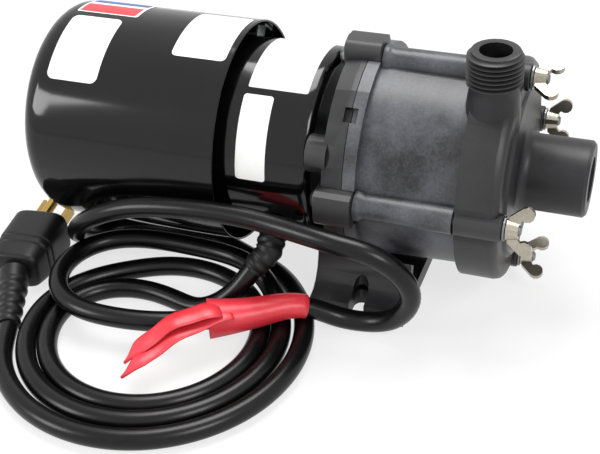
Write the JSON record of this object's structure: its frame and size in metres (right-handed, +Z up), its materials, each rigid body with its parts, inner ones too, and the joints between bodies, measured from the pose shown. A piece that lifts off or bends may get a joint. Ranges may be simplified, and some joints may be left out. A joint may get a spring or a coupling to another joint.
{
  "type": "magnetic drive pump",
  "caption": "Fan-cooled motor and magnetic drive centrifugal pump on a pedestal foot, wing-nutted volute with axial inlet, upright threaded outlet and a coiled mains lead.",
  "frame": {"origin": "centre of the foot's underside", "axes": "+X along the shaft towards the inlet, +Z up, the outlet upright"},
  "size_m": [0.2471, 0.194, 0.1173],
  "materials": {
    "black_enamel": "gloss black enamel",
    "filled_plastic": "matt glass-filled moulding",
    "cord_pvc": "satin flexible jacket",
    "plain_steel": "plain turned steel",
    "bright_nickel": "bright plated casting",
    "brass": "stamped brass",
    "enamelled_copper": "enamelled winding wire",
    "lamination_steel": "stacked laminations",
    "ferrite": "sintered ferrite",
    "ceramic": "ground ceramic",
    "seal_rubber": "moulded rubber"
  },
  "bodies": {
    "pump_body": {"fan_shroud": "black_enamel", "shroud_bracket_1": "plain_steel", "shroud_bracket_2": "plain_steel", "shroud_bracket_3": "plain_steel", "motor_shell": "black_enamel", "front_end_bell": "lamination_steel", "rear_end_bell": "lamination_steel", "front_bearing": "plain_steel", "rear_bearing": "plain_steel", "stator_core": "lamination_steel", "winding_front": "enamelled_copper", "winding_rear": "enamelled_copper", "thermal_protector": "filled_plastic", "motor_adapter": "filled_plastic", "adapter_screw_1": "plain_steel", "adapter_screw_2": "plain_steel", "adapter_screw_3": "plain_steel", "adapter_screw_4": "plain_steel", "pump_housing": "filled_plastic", "volute": "filled_plastic", "isolation_can": "filled_plastic", "o_ring": "seal_rubber", "spindle": "ceramic", "thrust_washer_rear": "ceramic", "thrust_washer_front": "ceramic", "clamp_bolt_1": "plain_steel", "clamp_bolt_2": "plain_steel", "clamp_bolt_3": "plain_steel", "clamp_bolt_4": "plain_steel", "washer_1": "plain_steel", "washer_2": "plain_steel", "washer_3": "plain_steel", "washer_4": "plain_steel", "cord_gland": "cord_pvc", "cord_lead": "cord_pvc", "cord_coil": "cord_pvc", "cord_run": "cord_pvc", "plug_relief": "cord_pvc", "plug_body": "cord_pvc", "plug_blade_1": "brass", "plug_blade_2": "brass", "plug_ground_pin": "brass"},
    "motor_rotor": {"motor_shaft": "plain_steel", "rotor_core": "lamination_steel", "cooling_fan": "filled_plastic", "drive_magnet_cup": "plain_steel", "drive_magnet": "ferrite"},
    "impeller_rotor": {"driven_magnet": "ferrite", "impeller": "filled_plastic"},
    "wing_nut_far": {"wing_nut_1": "bright_nickel"},
    "wing_nut_top": {"wing_nut_2": "bright_nickel"},
    "wing_nut_near": {"wing_nut_3": "bright_nickel"},
    "wing_nut_bottom": {"wing_nut_4": "bright_nickel"}
  },
  "joints": [
    {"name": "motor_spin", "type": "hinge", "parent": "pump_body", "child": "motor_rotor", "pos_m": [0, 0, 0.05715], "axis": [1, 0, 0], "continuous": true},
    {"name": "impeller_spin", "type": "hinge", "parent": "pump_body", "child": "impeller_rotor", "pos_m": [0, 0, 0.05715], "axis": [1, 0, 0], "continuous": true},
    {"name": "wing_nut_far_turn", "type": "hinge", "parent": "pump_body", "child": "wing_nut_far", "pos_m": [0.06, 0.0418, 0.05715], "axis": [1, 0, 0], "continuous": true},
    {"name": "wing_nut_top_turn", "type": "hinge", "parent": "pump_body", "child": "wing_nut_top", "pos_m": [0.06, 0, 0.09895], "axis": [1, 0, 0], "continuous": true},
    {"name": "wing_nut_near_turn", "type": "hinge", "parent": "pump_body", "child": "wing_nut_near", "pos_m": [0.06, -0.0418, 0.05715], "axis": [1, 0, 0], "continuous": true},
    {"name": "wing_nut_bottom_turn", "type": "hinge", "parent": "pump_body", "child": "wing_nut_bottom", "pos_m": [0.06, 0, 0.01535], "axis": [1, 0, 0], "continuous": true}
  ],
  "couplings": [
    {"joint": "impeller_spin", "follows": "motor_spin", "ratio": 1}
  ]
}
